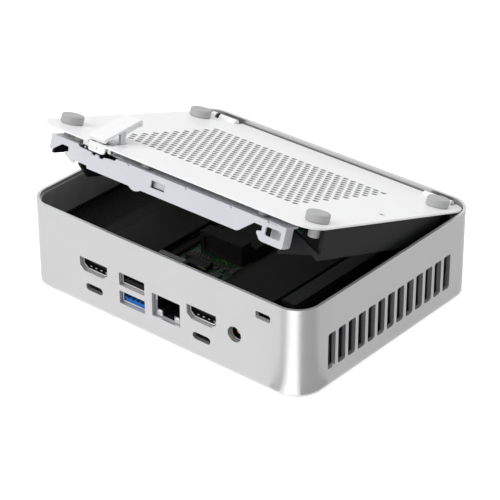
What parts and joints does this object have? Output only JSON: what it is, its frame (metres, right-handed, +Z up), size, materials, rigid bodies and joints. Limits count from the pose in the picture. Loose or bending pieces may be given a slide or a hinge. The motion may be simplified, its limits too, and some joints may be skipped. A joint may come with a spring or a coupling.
{
  "type": "compact computer and storage enclosure",
  "caption": "Small rounded metal case lying on its top face, ports along one long side and vents in the short sides, with a hinged, perforated, lever-latched bottom cover standing open.",
  "frame": {"origin": "centre of the outer top face, on which the case lies upside down, so z = 0 is the table", "axes": "+X along the port face to the right as seen from outside the port face, -Y out of the port face, +Z up through the open bottom of the case"},
  "size_m": [0.144, 0.1124, 0.0744],
  "materials": {
    "shell_aluminium": "fine bead-blasted satin",
    "cover_white": "satin white",
    "lever_white": "satin",
    "rail_steel": "satin",
    "black_plastic": "fine matt",
    "foot_rubber": "matt",
    "board_green": "solder mask",
    "steel": "plated",
    "fin_aluminium": "rolled",
    "copper": "bare copper",
    "brass": "turned",
    "blue_plastic": "moulded",
    "clear_plastic": "moulded"
  },
  "bodies": {
    "case": {"outer_shell": "shell_aluminium", "mid_frame": "black_plastic", "main_board": "board_green", "board_screws": "steel", "hdmi_socket_left": "steel", "hdmi_socket_right": "steel", "hdmi_tongue_left": "black_plastic", "hdmi_tongue_right": "black_plastic", "usb_c_socket_left": "steel", "usb_c_socket_right": "steel", "usb_a_stack": "steel", "usb_tongue_black": "black_plastic", "usb_tongue_blue": "blue_plastic", "lan_socket": "black_plastic", "power_inlet": "black_plastic", "power_inlet_pin": "brass", "port_block_left": "black_plastic", "port_block_right": "black_plastic", "front_usb_left": "steel", "front_usb_right": "steel", "front_usb_c": "steel", "power_switch": "black_plastic", "status_light": "clear_plastic", "fan_housing": "black_plastic", "fin_stack": "fin_aluminium", "heat_pipe_near": "copper", "heat_pipe_far": "copper", "cold_plate": "copper", "processor": "black_plastic", "ssd": "board_green", "ssd_heatsink": "black_plastic", "ssd_socket": "black_plastic", "ssd_screw": "steel", "spare_ssd_socket": "black_plastic", "ribbon_connector": "black_plastic", "memory_socket": "black_plastic", "memory_module_lower": "board_green", "memory_module_upper": "board_green", "memory_shield": "black_plastic", "wireless_card": "board_green", "coin_cell": "steel", "hinge_bracket_left": "black_plastic", "hinge_bracket_right": "black_plastic", "catch_pins": "steel"},
    "cover": {"bottom_cover": "cover_white", "cover_carrier": "black_plastic", "hinge_pins": "steel", "foot_near_left": "foot_rubber", "foot_near_right": "foot_rubber", "foot_far_left": "foot_rubber", "foot_far_right": "foot_rubber", "bracket_inserts": "brass", "rail_guides": "steel", "lever_pin": "steel", "lever_bracket": "lever_white"},
    "latch_rail": {"latch_rail": "rail_steel"},
    "latch_lever": {"latch_lever": "lever_white", "lever_cam": "rail_steel"},
    "power_button": {"power_button": "shell_aluminium"},
    "fan_rotor": {"fan_rotor": "black_plastic"}
  },
  "joints": [
    {"name": "cover_hinge", "type": "hinge", "parent": "case", "child": "cover", "pos_m": [0, 0.0503, 0.0375], "axis": [-1, 0, 0], "range_deg": [-18.8, 51.2]},
    {"name": "rail_slide", "type": "slide", "parent": "cover", "child": "latch_rail", "axis": [1, 0, 0], "range_m": [-0.0018, 0]},
    {"name": "lever_hinge", "type": "hinge", "parent": "cover", "child": "latch_lever", "pos_m": [-0.03735, -0.04637, 0.06819], "axis": [1, 0, 0], "range_deg": [-21, 0]},
    {"name": "button_press", "type": "slide", "parent": "case", "child": "power_button", "axis": [0, -1, 0], "range_m": [0, 0.0006], "stiffness_N_per_m": 1500, "springref_m": -0.0006},
    {"name": "fan_spin", "type": "hinge", "parent": "case", "child": "fan_rotor", "pos_m": [0.016, 0.006, 0.008], "axis": [0, 0, 1], "continuous": true}
  ],
  "couplings": [
    {"joint": "lever_hinge", "follows": "rail_slide", "rad_per_m": 203.3}
  ]
}
